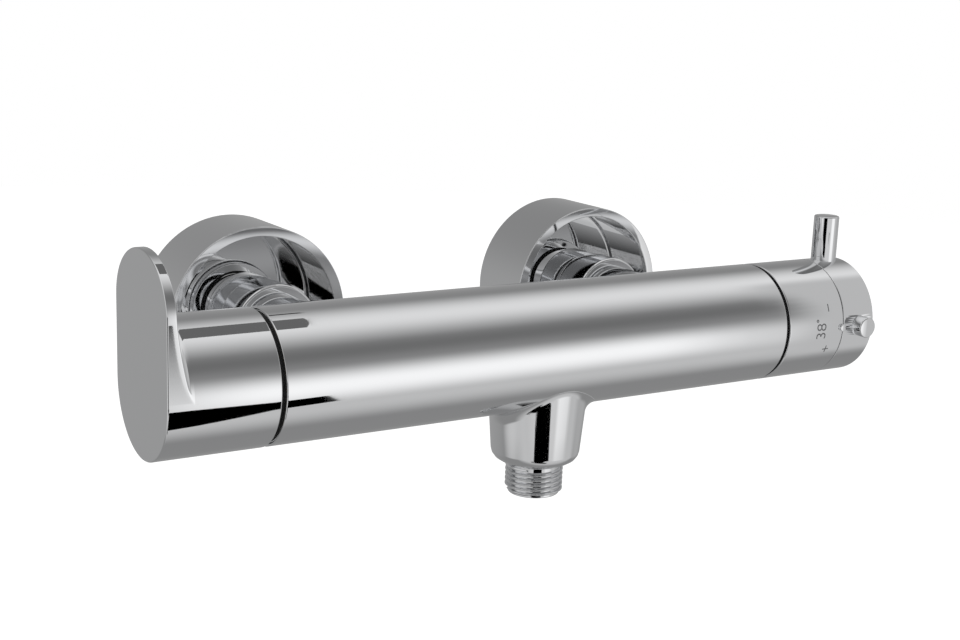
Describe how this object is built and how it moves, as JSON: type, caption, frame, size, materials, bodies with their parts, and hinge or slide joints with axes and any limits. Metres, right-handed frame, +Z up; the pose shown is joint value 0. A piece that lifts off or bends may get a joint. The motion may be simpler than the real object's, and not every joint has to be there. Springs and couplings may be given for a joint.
{
  "type": "thermostatic shower valve",
  "caption": "Exposed round bar thermostatic shower mixer for two wall inlets, with a flow handle, a scaled temperature cap and a threaded hose outlet below.",
  "frame": {"origin": "midpoint between the two wall inlets, on the finished wall plane", "axes": "+X along the bar from the flow handle to the temperature cap, +Y into the wall, +Z up"},
  "size_m": [0.29, 0.1487, 0.0984],
  "materials": {
    "chrome": "polished plating",
    "brass": "machined",
    "rubber": "matt",
    "black_plastic": "matt",
    "grey_plastic": "matt",
    "red_plastic": "matt",
    "white_plastic": "matt",
    "ceramic": "lapped",
    "steel": "bright"
  },
  "bodies": {
    "valve_body": {"body_casting": "chrome", "outlet_nipple": "chrome", "flow_shadow_ring": "black_plastic", "headwork_body": "brass", "seat_seal": "rubber", "fixed_disc": "ceramic", "handle_stop_ring": "grey_plastic", "temperature_shadow_ring": "black_plastic", "ring_carrier": "grey_plastic", "scale_ring": "chrome", "cartridge_housing": "brass", "cartridge_o_rings": "rubber", "cartridge_nut": "brass", "return_spring": "steel", "temperature_stop_ring": "red_plastic", "inlet_nipple_left": "brass", "union_washer_left": "rubber", "strainer_left": "steel", "check_cage_left": "grey_plastic", "check_spring_left": "steel", "wall_union_left": "chrome", "inlet_nipple_right": "brass", "union_washer_right": "rubber", "strainer_right": "steel", "check_cage_right": "grey_plastic", "check_spring_right": "steel", "wall_union_right": "chrome"},
    "flow_handle": {"flow_handle": "chrome", "handle_adaptor": "grey_plastic", "handle_grub_screw": "steel", "flow_spindle": "brass", "moving_disc": "ceramic", "spindle_o_rings": "rubber", "spindle_circlip": "steel"},
    "temperature_cap": {"temperature_cap": "chrome", "pin_lever": "chrome", "index_dot": "chrome", "temperature_hub": "grey_plastic", "cap_grub_screw": "steel", "temperature_spindle": "brass", "temperature_spindle_seal": "rubber", "button_spring": "steel"},
    "stop_button": {"stop_button": "chrome"},
    "regulating_piston": {"regulating_piston": "grey_plastic", "wax_element": "brass", "overload_cup": "brass", "overload_spring": "steel"},
    "union_nut_left": {"union_nut_left": "chrome"},
    "escutcheon_left": {"escutcheon_left": "chrome", "escutcheon_seal_left": "rubber"},
    "check_poppet_left": {"check_poppet_left": "white_plastic"},
    "union_nut_right": {"union_nut_right": "chrome"},
    "escutcheon_right": {"escutcheon_right": "chrome", "escutcheon_seal_right": "rubber"},
    "check_poppet_right": {"check_poppet_right": "white_plastic"}
  },
  "joints": [
    {"name": "flow_turn", "type": "hinge", "parent": "valve_body", "child": "flow_handle", "pos_m": [-0.12, -0.1055, 0], "axis": [1, 0, 0], "range_deg": [0, 90]},
    {"name": "temperature_turn", "type": "hinge", "parent": "valve_body", "child": "temperature_cap", "pos_m": [0.13, -0.1055, 0], "axis": [1, 0, 0], "range_deg": [-160, 60]},
    {"name": "button_press", "type": "slide", "parent": "temperature_cap", "child": "stop_button", "axis": [0, 1, 0], "range_m": [0, 0.0025], "stiffness_N_per_m": 400, "springref_m": -0.002, "deforming": ["button_spring"]},
    {"name": "piston_slide", "type": "slide", "parent": "valve_body", "child": "regulating_piston", "axis": [1, 0, 0], "range_m": [-0.0018, 0.0008], "deforming": ["return_spring"]},
    {"name": "union_nut_turn_left", "type": "hinge", "parent": "valve_body", "child": "union_nut_left", "pos_m": [-0.075, -0.04, 0], "axis": [0, 1, 0], "continuous": true},
    {"name": "escutcheon_turn_left", "type": "hinge", "parent": "valve_body", "child": "escutcheon_left", "pos_m": [-0.075, -0.004, 0], "axis": [0, 1, 0], "continuous": true},
    {"name": "check_open_left", "type": "slide", "parent": "valve_body", "child": "check_poppet_left", "axis": [0, -1, 0], "range_m": [0, 0.003], "stiffness_N_per_m": 60, "springref_m": -0.002, "deforming": ["check_spring_left"]},
    {"name": "union_nut_turn_right", "type": "hinge", "parent": "valve_body", "child": "union_nut_right", "pos_m": [0.075, -0.04, 0], "axis": [0, 1, 0], "continuous": true},
    {"name": "escutcheon_turn_right", "type": "hinge", "parent": "valve_body", "child": "escutcheon_right", "pos_m": [0.075, -0.004, 0], "axis": [0, 1, 0], "continuous": true},
    {"name": "check_open_right", "type": "slide", "parent": "valve_body", "child": "check_poppet_right", "axis": [0, -1, 0], "range_m": [0, 0.003], "stiffness_N_per_m": 60, "springref_m": -0.002, "deforming": ["check_spring_right"]}
  ],
  "couplings": [
    {"joint": "piston_slide", "follows": "temperature_turn", "m_per_rad": 0.0006}
  ]
}
